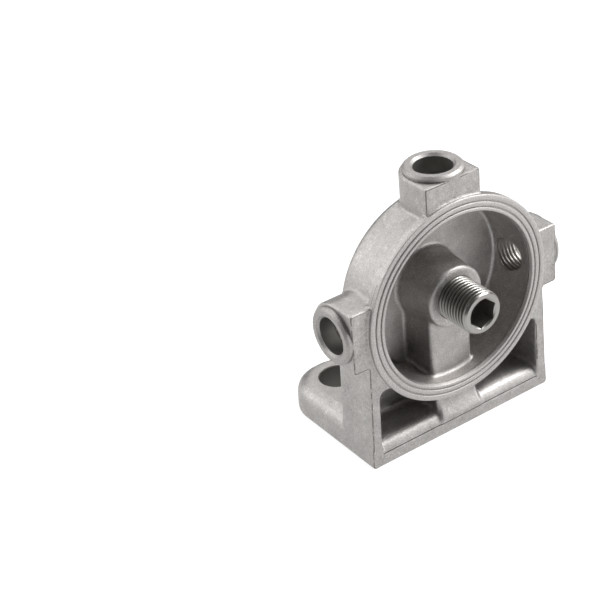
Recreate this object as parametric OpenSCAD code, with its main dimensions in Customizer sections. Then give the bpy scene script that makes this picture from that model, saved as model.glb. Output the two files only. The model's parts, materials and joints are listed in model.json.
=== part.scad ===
/* [Foot] */
// Full width of the foot along X at the mounting face
foot_w = 80; // [78:0.5:88]
// How far the foot reaches behind the line of the two bolt holes
foot_back = 14.8; // [14:0.2:20]
// Thickness of the foot plate away from the bolt pads
foot_t = 11; // [9:0.5:14]
// Height of the bolt pads above the foot plate
pad_h = 1; // [0.5:0.25:2]
// Radius of the rounded bolt pads
pad_r = 11.5; // [9.5:0.5:12.5]
// Radius of the rear corners of the foot in plan
foot_corner_r = 14.6; // [8:0.2:14.6]
// Rounding of the upper edge of the foot
foot_edge_r = 5; // [2:0.5:6]
// Distance between the centres of the two bolt holes
bolt_gap = 50.5; // [46:0.5:52]
// Diameter of the two bolt holes
bolt_d = 13.5; // [10:0.5:14.5]

/* [Body] */
// Height of the stud axis above the mounting face
stud_h = 54; // [53:0.5:62]
// Distance from the bolt line forward to the flat front face
face_gap = 40.9; // [40:0.1:46]
// Depth of the body from its front face to its back face
body_d = 20.8; // [19.8:0.2:22]
// Draft of the two side walls in degrees
side_draft = 1.5; // [0.5:0.25:2]
// Rounding of the upright rear edges of the side walls
side_edge_r = 4.6; // [2:0.2:5]
// Outer radius of the round bowl just behind the flange
bowl_r = 36.5; // [36:0.1:37]
// Outer radius of the bowl at its back face
bowl_back_r = 35.8; // [35:0.1:36]
// Rounding of the rear edge of the bowl
bowl_edge_r = 3.4; // [1.5:0.1:4]

/* [Rim] */
// How far the rim stands in front of the flat front face
rim_proud = 1.6; // [1:0.1:2]
// Outer radius of the rim flange
flange_r = 38.5; // [38:0.1:39]
// Thickness of the rim flange
flange_t = 3.6; // [3:0.1:4]
// Radius of the outer groove in the rim face
groove_out_r = 36.2; // [36:0.1:36.4]
// Radius of the inner groove in the rim face
groove_in_r = 34.1; // [34:0.1:34.4]
// Depth of the two grooves in the rim face
groove_d = 0.7; // [0.4:0.1:1]
// Radius of the open mouth of the bowl
mouth_r = 32.6; // [32:0.1:32.8]
// Radius inside the bowl at its back wall
bowl_in_r = 31.6; // [31:0.1:32]
// Depth inside the bowl from the rim to its back wall
bowl_in_d = 19.4; // [18.6:0.2:19.6]

/* [Pockets] */
// Thickness of the side walls beside the pockets
wall_t = 4.2; // [3.5:0.1:5]
// Height of the floor behind the front bar
pocket_floor = 5.5; // [4.8:0.1:7]
// Radius of the round top of the front bar
bar_round = 4.4; // [4:0.1:4.8]
// Height of the upper edge of the plain front bar
bar_h = 4.5; // [4:0.1:5]
// Height of the upper edge of the pockets
pocket_top = 30.3; // [29:0.1:31]
// Width of the web between the two pockets
web_w = 18; // [14:0.5:20]
// How far the web face lies behind the flat front face
web_back = 2.7; // [2:0.1:3.5]
// Radius of the hollow curve at the back of the pocket floor
floor_r = 8; // [4:0.5:10]

/* [Ports] */
// Distance from the rim plane back to the axes of the three ports
port_back = 11.9; // [11.7:0.1:12.3]
// Width of the port blocks
block_w = 23.3; // [22:0.1:23.4]
// Distance from the stud axis at which the back of a port block fades into the back face
block_root = 31; // [30:0.5:32]
// Distance from the stud axis to the end of the side port blocks
side_reach = 45.1; // [43:0.1:48]
// Distance from the stud axis to the end of the top port block
top_reach = 46.3; // [43:0.1:49]
// Radius of the round machined collar on each port
collar_r = 10.5; // [9.5:0.1:10.8]
// Height of the collar above its block
collar_h = 2; // [1:0.1:3]
// Diameter of the port bores at the thread crests
port_d = 12.4; // [10:0.2:13]
// Diameter of the countersink at the mouth of each port
port_mouth_d = 14.8; // [14.2:0.2:16]

/* [Stud] */
// Outside diameter of the threaded stud
stud_d = 16; // [14:0.5:16]
// How far the stud stands out of its boss
stud_out = 14.1; // [10:0.1:18]
// Length of the stud held in the boss
stud_in = 12; // [8:0.5:13]
// Diameter of the stud where it is held, at the middle of its thread
stud_held_d = 15; // [12.5:0.5:15.5]
// Length of the thinner held part that shows in front of the boss
stud_relief = 0.5; // [0.2:0.1:1]
// Size across the flats of the hexagon socket
hex_af = 10; // [8:0.5:10.4]
// Depth of the hexagon socket
hex_deep = 9; // [6:0.5:12]
// Diameter of the bore through the stud
stud_bore = 8; // [5:0.5:8]
// Gap all round between the stud and its seat
stud_fit = 0.05; // [0.02:0.01:0.1]
// Depth of the boss face behind the rim plane
boss_in = 2.2; // [1:0.1:4]
// Radius of the stud boss at its face
boss_r = 11.6; // [10.6:0.1:12]
// Radius of the stud boss at the back wall
boss_base_r = 12.7; // [12.4:0.1:13.4]
// Width of the web below the boss at its front
inner_web_w = 18; // [14:0.5:20]
// Depth of the web front behind the rim plane
inner_web_in = 6.2; // [5:0.2:10]

/* [Back] */
// Radius of the round boss of the back port
ring_r = 10.7; // [10:0.1:12]
// Height of the back port boss above the back face
ring_h = 2.9; // [2:0.1:4]
// Diameter of the back port bore at the thread crests
back_port_d = 14.4; // [12:0.2:14.6]
// Height of the small boss above the stud axis
vent_up = 23.4; // [22.5:0.1:24.5]
// Radius of the small boss
vent_r = 6.6; // [6:0.1:7]
// Height of the small boss above the back face
vent_h = 5.1; // [4:0.1:6]
// Diameter of the small threaded hole
vent_d = 6.7; // [5:0.1:7]
// Width of the sloping rib
rib_w = 14.4; // [10:0.2:16]
// Height above the mounting face where the rib meets the back face
rib_top = 44.8; // [40:0.2:46]
// Distance behind the bolt line where the rib runs out on the foot
rib_end = 10.6; // [8:0.2:11]
// Radius of the hollow curve between the rib and the back face
rib_fillet_r = 3; // [1:0.5:4]

/* [Hidden] */
$fn = 128;
e = 0.01;
face_y = -face_gap;
rim_y = face_y - rim_proud;
back_y = face_y + body_d;
port_y = rim_y + port_back;
inner_y = rim_y + bowl_in_d;
boss_y = rim_y + boss_in;
seat_y = boss_y + stud_in;
half_foot = foot_w / 2;
draft = tan(side_draft);
block_slope = 0.25;

// Turns a shape drawn upright so that its height runs backward along Y
module along_y(y) { translate([0, y, stud_h]) rotate([-90, 0, 0]) children(); }

// Half width of the body at a height above the mounting face
function half_w(z) = half_foot - draft * z;

// Plate of the foot with rounded rear corners and a rounded upper edge
module foot_plate() {
    cx = half_foot - foot_corner_r;
    cy = foot_back - foot_corner_r;
    er = foot_edge_r;
    intersection() {
        union() {
            for (s = [-1, 1])
                translate([s * cx, cy, 0]) rotate_extrude() {
                    square([foot_corner_r - er, foot_t]);
                    square([foot_corner_r, foot_t - er]);
                    translate([foot_corner_r - er, foot_t - er]) circle(er, $fn = 64);
                }
            translate([-cx, 0, 0]) rotate([90, 0, 90]) linear_extrude(2 * cx) {
                translate([face_y, 0]) square([foot_back - er - face_y, foot_t]);
                translate([face_y, 0]) square([foot_back - face_y, foot_t - er]);
                translate([foot_back - er, foot_t - er]) circle(er, $fn = 64);
            }
            translate([0, cy, 0]) rotate([90, 0, 0]) linear_extrude(cy - face_y) {
                translate([-half_foot + er, 0]) square([foot_w - 2 * er, foot_t]);
                translate([-half_foot, 0]) square([foot_w, foot_t - er]);
                for (s = [-1, 1]) translate([s * (half_foot - er), foot_t - er]) circle(er, $fn = 64);
            }
        }
        translate([-half_foot - 1, face_y, 0]) cube([foot_w + 2, foot_back - face_y + 1, foot_t]);
    }
}

// Raised pads around the bolt holes, carried forward to the back face
module bolt_pads() {
    intersection() {
        for (s = [-1, 1]) {
            translate([s * bolt_gap / 2, 0, foot_t - 2])
                cylinder(h = 2 + pad_h, r1 = pad_r + 1.5, r2 = pad_r);
            translate([s * bolt_gap / 2, 0, 0]) rotate([90, 0, 0])
                linear_extrude(1 - back_y)
                    polygon([[-pad_r - 1.5, foot_t - 2], [pad_r + 1.5, foot_t - 2],
                             [pad_r, foot_t + pad_h], [-pad_r, foot_t + pad_h]]);
        }
        translate([0, foot_back, 0]) rotate([90, 0, 0]) linear_extrude(foot_back - face_y) {
            er = foot_edge_r;
            translate([-half_foot + er, 0]) square([foot_w - 2 * er, foot_t + pad_h]);
            for (s = [-1, 1])
                translate([s * (half_foot - er), foot_t + pad_h - er]) circle(er, $fn = 64);
        }
    }
}

// Upright body with drafted side walls and rounded rear edges
module body_box() {
    difference() {
        translate([0, back_y, 0]) rotate([90, 0, 0]) linear_extrude(body_d)
            polygon([[-half_w(0), 0], [half_w(0), 0], [half_w(stud_h), stud_h], [-half_w(stud_h), stud_h]]);
        for (s = [-1, 1])
            translate([s * half_foot, back_y, 0]) rotate([0, -s * side_draft, 0])
                translate([0, 0, foot_t - foot_edge_r]) linear_extrude(stud_h)
                    difference() {
                        translate([-side_edge_r, -side_edge_r])
                            square([2 * side_edge_r, 2 * side_edge_r]);
                        translate([-s * side_edge_r, -side_edge_r]) circle(side_edge_r, $fn = 64);
                        if (s > 0) translate([-2 * side_edge_r, -2 * side_edge_r])
                            square([side_edge_r, 3 * side_edge_r]);
                        else translate([side_edge_r, -2 * side_edge_r])
                            square([side_edge_r, 3 * side_edge_r]);
                    }
    }
}

// Round outside of the bowl with its rounded rear edge
module bowl_outside() {
    d = back_y - rim_y;
    er = bowl_edge_r;
    along_y(rim_y) rotate_extrude() {
        polygon([[0, 1], [bowl_r, 1], [bowl_r, flange_t], [bowl_back_r, d - er], [0, d - er]]);
        square([bowl_back_r - er, d]);
        translate([bowl_back_r - er, d - er]) circle(er, $fn = 64);
    }
}

// Flange of the rim with three rounded ridges divided by two grooves
module rim_flange() {
    g = groove_d;
    w = 0.45;
    along_y(rim_y) rotate_extrude()
        polygon([[mouth_r - 1.5, flange_t], [mouth_r - 1.5, 0.7], [mouth_r, 0.7], [mouth_r + 0.5, 0.15],
                 [groove_in_r - w - 0.2, 0], [groove_in_r - w, 0.1], [groove_in_r, g],
                 [groove_in_r + w, 0.1], [groove_in_r + w + 0.3, 0], [groove_out_r - w - 0.3, 0],
                 [groove_out_r - w, 0.1], [groove_out_r, g], [groove_out_r + w, 0.2],
                 [groove_out_r + w + 0.3, 0.1], [flange_r - 0.9, 0.1], [flange_r - 0.3, 0.35],
                 [flange_r, 0.95], [flange_r, flange_t - 0.6], [flange_r - 0.6, flange_t]]);
}

// Outline of a port block: flat toward the front, round toward the back
module block_outline() {
    circle(block_w / 2);
    translate([-block_w / 2, face_y - port_y]) square([block_w, port_y - face_y]);
}

// Block and collar of one port, standing along Z from the stud axis
module port_boss(reach) {
    r0 = block_root;
    difference() {
        translate([0, port_y, r0]) linear_extrude(reach - r0) block_outline();
        rotate([90, 0, 90]) translate([0, 0, -block_w]) linear_extrude(2 * block_w)
            polygon([[back_y, r0 - 1], [back_y + block_w, r0 - 1],
                     [back_y + block_w, r0 + block_w / block_slope], [back_y, r0]]);
    }
    translate([0, port_y, 0]) {
        translate([0, 0, reach - 1]) cylinder(h = 1 + collar_h - 0.5, r = collar_r);
        translate([0, 0, reach + collar_h - 0.5])
            cylinder(h = 0.5, r1 = collar_r, r2 = collar_r - 0.5);
    }
}

// Places a port boss or bore at the top, left and right of the bowl
module three_ports() {
    translate([0, 0, stud_h]) children(0);
    for (s = [-1, 1]) translate([0, 0, stud_h]) rotate([0, s * 90, 0]) children(1);
}

// Bore of one port with its countersunk mouth
module port_bore(reach) {
    end = reach + collar_h;
    m = (port_mouth_d - port_d) / 2;
    start = bowl_in_r - port_d / 2;
    translate([0, port_y, start]) cylinder(h = end - start + 1, d = port_d);
    translate([0, port_y, end - m]) cylinder(h = m + e, d1 = port_d, d2 = port_mouth_d + 2 * e);
}

// Sloping rib from the back port down to the rear of the foot
module back_rib() {
    wedge = [[back_y - 1, foot_t - 2], [back_y - 1, rib_top], [back_y, rib_top],
             [rib_end, foot_t], [rib_end, foot_t - 2]];
    translate([-rib_w / 2, 0, 0]) rotate([90, 0, 90]) linear_extrude(rib_w) polygon(wedge);
    fr = rib_fillet_r;
    intersection() {
        translate([-rib_w / 2 - fr, 0, 0]) rotate([90, 0, 90]) linear_extrude(rib_w + 2 * fr)
            polygon(wedge);
        for (s = [-1, 1]) translate([0, 0, foot_t - 2]) linear_extrude(stud_h)
            difference() {
                translate([s > 0 ? rib_w / 2 - e : -rib_w / 2 - fr, back_y - 1]) square([fr + e, fr + 1]);
                translate([s * (rib_w / 2 + fr), back_y + fr]) circle(fr, $fn = 64);
            }
    }
}

// Hollow of the bowl from its mouth to the back wall
module bowl_hollow() {
    fr = 1.8;
    along_y(rim_y) rotate_extrude() {
        polygon([[0, -1], [mouth_r, -1], [mouth_r, 1], [bowl_in_r, bowl_in_d - fr], [0, bowl_in_d - fr]]);
        square([bowl_in_r - fr, bowl_in_d]);
        translate([bowl_in_r - fr, bowl_in_d - fr]) circle(fr, $fn = 48);
    }
}

// Side view of the hollow under the bowl, over the round bar and the floor behind it, to a depth
module pocket_side(deep, r) {
    difference() {
        translate([-1, bar_h]) square([deep + 1, stud_h]);
        translate([bar_round, bar_h]) circle(bar_round, $fn = 96);
        translate([bar_round, 0]) square([deep, pocket_floor]);
        if (r > 0) difference() {
            translate([deep - r, pocket_floor - e]) square([r + 1, r + e]);
            translate([deep - r, pocket_floor + r]) circle(r, $fn = 64);
        }
    }
}

// Front view of the hollow under the bowl between two side walls
module pocket_front() {
    x0 = half_w(bar_h) - wall_t;
    x1 = half_w(pocket_top) - wall_t;
    cr = 2.2;
    polygon([[-x0, 0], [x0, 0], [x1, pocket_top - cr], [-x1, pocket_top - cr]]);
    translate([-x1 + cr, pocket_top - cr - e]) square([2 * (x1 - cr), cr + e]);
    for (s = [-1, 1]) translate([s * (x1 - cr), pocket_top - cr]) circle(cr, $fn = 48);
}

// The two pockets and the shallow recess in front of the web
module pockets() {
    difference() {
        union() {
            intersection() {
                translate([-foot_w, face_y, 0]) rotate([90, 0, 90]) linear_extrude(2 * foot_w)
                    pocket_side(web_back, 0);
                translate([0, back_y, 0]) rotate([90, 0, 0]) linear_extrude(body_d + 1) pocket_front();
            }
            intersection() {
                translate([-foot_w, face_y, 0]) rotate([90, 0, 90]) linear_extrude(2 * foot_w)
                    pocket_side(inner_y - face_y, floor_r);
                translate([0, back_y, 0]) rotate([90, 0, 0]) linear_extrude(body_d + 1)
                    difference() {
                        pocket_front();
                        translate([-web_w / 2, -1]) square([web_w, stud_h]);
                    }
            }
        }
        bowl_outside();
        along_y(rim_y) cylinder(h = flange_t, r = flange_r);
    }
}

// Boss for the stud inside the bowl and the web that stands under it
module inner_boss() {
    along_y(boss_y) rotate_extrude()
        polygon([[0, 0], [boss_r - 1, 0], [boss_r - 0.3, 0.3], [boss_r, 1],
                 [boss_base_r, inner_y - boss_y], [boss_base_r, inner_y - boss_y + 1],
                 [0, inner_y - boss_y + 1]]);
    hw = inner_web_w / 2;
    y0 = rim_y + inner_web_in;
    translate([0, 0, stud_h - bowl_in_r - 1]) linear_extrude(bowl_in_r + 1)
        polygon([[-hw, y0], [hw, y0], [hw + 1, inner_y + 1], [-hw - 1, inner_y + 1]]);
}

// Cast and machined filter head in one piece
module head_casting() {
    color([0.70, 0.69, 0.67]) difference() {
        union() {
            difference() {
                union() {
                    foot_plate();
                    bolt_pads();
                    body_box();
                    bowl_outside();
                    rim_flange();
                    three_ports() { port_boss(top_reach); port_boss(side_reach); }
                    back_rib();
                    along_y(back_y - 1) cylinder(h = ring_h + 1, r = ring_r);
                    translate([0, 0, vent_up]) along_y(back_y - 1) cylinder(h = vent_h + 1, r = vent_r);
                }
                bowl_hollow();
                pockets();
            }
            inner_boss();
        }
        three_ports() { port_bore(top_reach); port_bore(side_reach); }
        along_y(boss_y - 1) cylinder(h = stud_in + 1, d = stud_held_d + 2 * stud_fit);
        along_y(seat_y - e) cylinder(h = back_y + ring_h - seat_y + 1, d = back_port_d);
        along_y(back_y + ring_h - 0.9) cylinder(h = 0.9 + e, d1 = back_port_d, d2 = back_port_d + 1.8 + 2 * e);
        translate([0, 0, vent_up]) along_y(inner_y - 1) cylinder(h = stud_h, d = vent_d);
        translate([0, 0, vent_up]) along_y(back_y + vent_h - 0.7)
            cylinder(h = 0.7 + e, d1 = vent_d, d2 = vent_d + 1.4 + 2 * e);
        for (s = [-1, 1]) translate([s * bolt_gap / 2, 0, -1]) cylinder(h = foot_t + pad_h + 2, d = bolt_d);
    }
}

// Hollow screwed-in stud with a hexagon socket in its outer end
module spin_on_stud() {
    r = stud_d / 2;
    rh = stud_held_d / 2;
    free = stud_out - stud_relief;
    len = stud_out + stud_in;
    color([0.80, 0.79, 0.76]) along_y(boss_y - stud_out) difference() {
        rotate_extrude()
            polygon([[0, 0], [r - 0.75, 0], [r, 1.2], [r, free], [rh, free], [rh, len - 1], [rh - 1, len],
                     [0, len]]);
        translate([0, 0, -1]) cylinder(h = len + 2, d = stud_bore);
        translate([0, 0, -1]) rotate([0, 0, -20]) cylinder(h = hex_deep + 1, d = hex_af / cos(30), $fn = 6);
        translate([0, 0, -e]) cylinder(h = 0.6, d1 = hex_af / cos(30) + 0.2, d2 = hex_af - 1);
    }
}

head_casting();
spin_on_stud();
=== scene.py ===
import json
import logging
import math
from dataclasses import dataclass, field
from enum import Enum
from typing import Callable

import bmesh
import bpy
import numpy as np
from bpy.types import Material, Node, NodeSocket, NodeTree, Object
from mathutils import Matrix, Vector


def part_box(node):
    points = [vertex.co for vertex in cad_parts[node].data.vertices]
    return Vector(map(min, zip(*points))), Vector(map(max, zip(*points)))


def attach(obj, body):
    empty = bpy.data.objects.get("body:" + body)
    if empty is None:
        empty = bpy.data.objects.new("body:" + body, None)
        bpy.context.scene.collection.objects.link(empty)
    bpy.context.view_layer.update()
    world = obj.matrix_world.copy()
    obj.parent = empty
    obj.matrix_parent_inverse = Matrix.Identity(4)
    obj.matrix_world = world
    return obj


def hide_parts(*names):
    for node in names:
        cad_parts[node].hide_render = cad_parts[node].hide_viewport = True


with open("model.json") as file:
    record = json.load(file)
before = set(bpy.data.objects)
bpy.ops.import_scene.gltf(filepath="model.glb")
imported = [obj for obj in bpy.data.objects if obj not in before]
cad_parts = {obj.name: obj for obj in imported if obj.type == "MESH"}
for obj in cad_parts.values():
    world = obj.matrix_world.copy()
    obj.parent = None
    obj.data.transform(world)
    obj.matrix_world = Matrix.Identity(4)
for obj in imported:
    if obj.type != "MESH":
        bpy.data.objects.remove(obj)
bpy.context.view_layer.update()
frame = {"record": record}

MM = 0.001
"""One millimetre in metres. Sizes in this file are in millimetres unless a name says otherwise."""

Tones = tuple[tuple[float, str], ...]
"""Pairs of a value from 0 to 1 and its hex colour, in rising order."""

Finishes = dict[str, Material]
"""The casting's materials by the face that they are for."""

log = logging.getLogger("filter_head")


class Axis(Enum):
    """The line that a turned face, a bore or a port lies along, pointing out of the casting."""

    FRONT = (0.0, -1.0, 0.0)
    BACK = (0.0, 1.0, 0.0)
    UP = (0.0, 0.0, 1.0)
    LEFT = (-1.0, 0.0, 0.0)
    RIGHT = (1.0, 0.0, 0.0)


def mount(name: str) -> dict:
    """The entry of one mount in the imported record, by its name."""
    return next(m for m in frame["record"]["mounts"] if m["name"] == name)


def mount_place(name: str) -> np.ndarray:
    """The point of one mount in millimetres."""
    return np.array(mount(name)["pos_m"], float) / MM


def srgb(code: str) -> tuple[float, float, float, float]:
    """Turns an sRGB hex colour into linear light.

    Args:
        code: six hex digits after a #.

    Returns:
        Linear red, green, blue and an alpha of 1.
    """
    parts = [int(code[i:i + 2], 16) / 255 for i in (1, 3, 5)]
    linear = [c / 12.92 if c <= 0.04045 else ((c + 0.055) / 1.055) ** 2.4 for c in parts]
    return (*linear, 1.0)


def round_join(a: np.ndarray, b: np.ndarray, radius: float) -> np.ndarray:
    """Joins two solids given as distance fields, with a hollow fillet where they meet.

    Where both fields are under the radius the result is the radius less the length of the two
    shortfalls, which is a quarter circle; elsewhere it is the smaller field.

    Args:
        a: distance to the first solid, negative inside.
        b: distance to the second solid.
        radius: radius of the fillet.

    Returns:
        The distance field of the joined solid.
    """
    short_a = np.maximum(radius - a, 0)
    short_b = np.maximum(radius - b, 0)
    return np.maximum(np.minimum(a, b), radius) - np.hypot(short_a, short_b)


def round_meet(a: np.ndarray, b: np.ndarray, radius: float) -> np.ndarray:
    """Keeps what lies in both solids, with a rounded edge: the join of their outsides, inside out."""
    return -round_join(-a, -b, radius)


Grid = tuple[np.ndarray, np.ndarray, np.ndarray]
"""Distances to the right of the middle plane, behind the bolt line and above the mounting face."""


@dataclass(frozen=True)
class CastBody:
    """The cast shape of the filter head, without its machined faces and threads.

    The body is a distance field in millimetres: negative inside, zero on the skin. Fillets and
    rounded edges come from round_join and round_meet, as the pattern maker's radii would. A value
    named join is the fillet between two shapes, and one named edge is a rounded edge.
    """

    stud_z: float = mount_place("filter_stud")[2]
    port_y: float = mount_place("top_port")[1]
    bolt_x: float = mount("foot_bolts")["dims"]["spacing_x_mm"] / 2
    vent_z: float = mount_place("vent_port")[2]
    soft_edge: float = 1.2
    fine_edge: float = 0.6
    corner_join: float = 1.3
    close_join: float = 0.8
    overlap: float = 2.0
    foot_half: float = 40.0
    foot_back: float = 14.8
    foot_top: float = 11.0
    foot_corner: float = 14.6
    foot_edge: float = 5.0
    pad_top: float = 12.0
    pad_r: float = 11.5
    pad_inset: float = 0.3
    pad_join: float = 1.6
    face_y: float = -40.9
    back_y: float = -20.1
    draft: float = math.tan(math.radians(1.5))
    side_edge: float = 4.6
    base_edge: float = 1.5
    rim_y: float = -42.5
    rim_stock: float = 0.5
    bowl_r: float = 36.5
    bowl_back_r: float = 35.8
    bowl_edge: float = 3.4
    flange_r: float = 38.5
    flange_t: float = 3.6
    flange_stock: float = 0.15
    flange_join: float = 0.7
    mouth_r: float = 32.6
    bowl_in_r: float = 31.6
    inner_y: float = -23.1
    pocket_wall: float = 4.2
    pocket_corner: float = 2.2
    pocket_top: float = 30.3
    pocket_floor: float = 5.5
    pocket_join: float = 4.0
    sill_top: float = 4.5
    bar_height: float = 4.4
    bar_depth: float = 6.4
    bar_fall: float = 9.0
    bar_join: float = 3.0
    web_half: float = 9.0
    web_y: float = -38.2
    web_join: float = 4.0
    block_r: float = 11.65
    block_root: float = 31.0
    block_slope: float = 0.25
    side_reach: float = 45.1
    top_reach: float = 46.3
    boss_y: float = -40.3
    boss_r: float = 11.6
    boss_base_r: float = 12.7
    boss_edge: float = 1.1
    boss_join: float = 1.6
    boss_sink: float = 1.5
    inner_web_y: float = -36.3
    inner_web_spread: float = 1.0
    ring_r: float = 10.7
    ring_h: float = 2.9
    ring_edge: float = 0.3
    ring_stock: float = 0.1
    vent_r: float = 6.6
    vent_h: float = 5.1
    vent_draft: float = 0.06
    rib_half: float = 7.2
    rib_top: float = 44.8
    rib_end: float = 10.6
    rib_draft: float = 0.02
    rib_edge: float = 1.0
    rib_sink: float = 3.0
    rib_join: float = 2.4

    def around_stud(self, x: np.ndarray, z: np.ndarray) -> np.ndarray:
        """Distance from the stud's axis."""
        return np.hypot(x, z - self.stud_z)

    def foot(self, at: Grid) -> np.ndarray:
        """The foot plate and its two raised bolt pads.

        In plan the foot is a rectangle with two round rear corners. Its upper edge is a quarter
        circle. Each pad is all that lies within the pad radius of a line from the bolt hole forward,
        and it runs out to the side of the foot.

        Args:
            at: the grid.

        Returns:
            The distance field of the foot.
        """
        x, y, z = at
        across = np.abs(x) - (self.foot_half - self.draft * z - self.foot_corner)
        behind = y - (self.foot_back - self.foot_corner)
        plan = (np.hypot(np.maximum(across, 0), np.maximum(behind, 0))
                + np.minimum(np.maximum(across, behind), 0) - self.foot_corner)
        plate = round_meet(plan, z - self.foot_top, self.foot_edge)
        pad = np.hypot(np.minimum(np.abs(x) - self.bolt_x, 0), np.maximum(y, 0)) - self.pad_r
        pad = round_meet(pad, z - self.pad_top, self.soft_edge)
        pad = np.maximum(pad, round_meet(plan + self.pad_inset, z - self.pad_top, self.foot_edge))
        return round_meet(round_join(plate, pad, self.pad_join), -z, self.base_edge)

    def wall(self, at: Grid) -> np.ndarray:
        """The upright body with its drafted sides, round rear edges and the fillet on the foot.

        Args:
            at: the grid.

        Returns:
            The distance field of the wall.
        """
        x, y, z = at
        side = (np.abs(x) - (self.foot_half - self.draft * z)) * math.cos(math.atan(self.draft))
        back = y - self.back_y
        above = z - self.stud_z
        box = round_meet(round_meet(side, -z, self.base_edge), back, self.side_edge)
        fillet = round_join(z - self.foot_top, back, self.corner_join)
        ends = np.maximum(np.abs(x) - (self.foot_half - self.foot_edge), back - self.overlap)
        solid = np.minimum(np.maximum(box, above), np.maximum(np.maximum(fillet, ends), above))
        return np.maximum(solid, -z)

    def bowl(self, at: Grid) -> np.ndarray:
        """The outside of the bowl: a slightly tapered drum with a round rear edge.

        Args:
            at: the grid.

        Returns:
            The distance field of the drum, solid inside.
        """
        x, y, z = at
        along = (y - self.rim_y) / (self.back_y - self.rim_y)
        radius = self.bowl_r + (self.bowl_back_r - self.bowl_r) * along
        drum = round_meet(self.around_stud(x, z) - radius, y - self.back_y, self.bowl_edge)
        return np.maximum(drum, self.rim_y + self.rim_stock - y)

    def port_block(self, across: np.ndarray, y: np.ndarray, out: np.ndarray, reach: float) -> np.ndarray:
        """One port block, flat to the front and round to the back, fading into the back face.

        Args:
            across: distance from the port's axis along the bowl's rim.
            y: distance behind the bolt line.
            out: distance from the stud's axis along the port.
            reach: where the block ends along the port.

        Returns:
            The distance field of the block.
        """
        outline = np.hypot(across, np.maximum(y - self.port_y, 0)) - self.block_r
        tail = y - self.back_y - self.block_slope * (out - self.block_root)
        tail = tail / math.hypot(1, self.block_slope)
        block = round_meet(np.maximum(outline, tail), out - reach, self.fine_edge)
        return np.maximum(block, self.block_root - self.overlap - out)

    def rib(self, at: Grid) -> np.ndarray:
        """The rib that slopes from the back port down to the rear of the foot.

        Args:
            at: the grid.

        Returns:
            The distance field of the rib.
        """
        x, y, z = at
        run, fall = self.rib_end - self.back_y, self.rib_top - self.foot_top
        slope = ((y - self.back_y) * fall + (z - self.rib_top) * run) / math.hypot(run, fall)
        side = np.abs(x) - self.rib_half - self.rib_draft * (self.rib_top - z)
        wedge = round_meet(slope, side, self.rib_edge)
        ends = np.maximum(self.back_y - self.overlap - y, self.foot_top - self.rib_sink - z)
        return np.maximum(wedge, ends)

    def pockets(self, at: Grid, drum: np.ndarray) -> np.ndarray:
        """The hollow of the two pockets under the bowl, with the recess in front of the web.

        The bar that closes the pockets to the front is half an ellipse across. It rises quickly from
        the sill and falls slowly to the rear, where a fillet joins it to the flat floor.

        Args:
            at: the grid.
            drum: the distance field of the bowl's outside.

        Returns:
            The distance field of the hollow.
        """
        x, y, z = at
        half = self.foot_half - self.draft * z - self.pocket_wall
        front = round_meet(np.abs(x) - half, z - self.pocket_top, self.pocket_corner)
        crown = self.face_y + self.bar_depth
        reach = np.where(y < crown, (crown - y) / self.bar_depth, (y - crown) / self.bar_fall)
        bar = (np.hypot(reach, (z - self.sill_top) / self.bar_height) - 1) * self.bar_height
        ground = round_join(bar, np.maximum(z - self.pocket_floor, crown - y), self.bar_join)
        floor = np.maximum(-ground, self.sill_top + 0.1 - z)
        deep = round_meet(round_meet(floor, y - self.inner_y, self.pocket_join), front, self.soft_edge)
        deep = round_meet(deep, self.web_half - np.abs(x), self.soft_edge)
        shallow = round_meet(np.maximum(front, floor), y - self.web_y, self.web_join)
        shallow = round_meet(shallow, -drum, self.fine_edge)
        return round_join(round_meet(deep, -drum, self.soft_edge), shallow, self.soft_edge)

    def hollow(self, at: Grid) -> np.ndarray:
        """The inside of the bowl, a little wider at the mouth than at the back wall.

        Args:
            at: the grid.

        Returns:
            The distance field of the hollow.
        """
        x, y, z = at
        along = (self.inner_y - y) / (self.inner_y - self.rim_y)
        radius = self.bowl_in_r + (self.mouth_r - self.bowl_in_r) * along
        return round_meet(self.around_stud(x, z) - radius, y - self.inner_y, self.corner_join)

    def stud_seat(self, at: Grid) -> np.ndarray:
        """The boss for the stud and the web that stands under it inside the bowl.

        Args:
            at: the grid.

        Returns:
            The distance field of boss and web together.
        """
        x, y, z = at
        along = (y - self.boss_y) / (self.inner_y - self.boss_y)
        radius = self.boss_r + (self.boss_base_r - self.boss_r) * along
        boss = round_meet(self.around_stud(x, z) - radius, self.boss_y - y, self.boss_edge)
        along = (y - self.inner_web_y) / (self.inner_y - self.inner_web_y)
        side = np.abs(x) - (self.web_half + self.inner_web_spread * along)
        web = round_meet(side, self.inner_web_y - y, self.corner_join)
        bottom = self.stud_z - self.bowl_in_r - self.overlap
        web = np.maximum(web, np.maximum(z - self.stud_z, bottom - z))
        return np.maximum(round_join(boss, web, self.boss_join), y - self.inner_y - self.boss_sink)

    def back_bosses(self, at: Grid, body: np.ndarray) -> np.ndarray:
        """Joins the boss of the back port and the small tapered boss of the bleed hole to the body.

        Args:
            at: the grid.
            body: the distance field of the body.

        Returns:
            The distance field of all three.
        """
        x, y, z = at
        behind = y - self.back_y
        ring = self.around_stud(x, z) - self.ring_r + self.ring_stock / 2
        ring = round_meet(ring, behind - self.ring_h + self.ring_stock, self.ring_edge)
        vent = np.hypot(x, z - self.vent_z) - self.vent_r - self.vent_draft * (self.vent_h - behind)
        vent = round_meet(vent, behind - self.vent_h, self.soft_edge)
        body = round_join(body, np.maximum(ring, -self.overlap - behind), self.close_join)
        return round_join(body, np.maximum(vent, -self.overlap - behind), self.corner_join)

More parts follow.
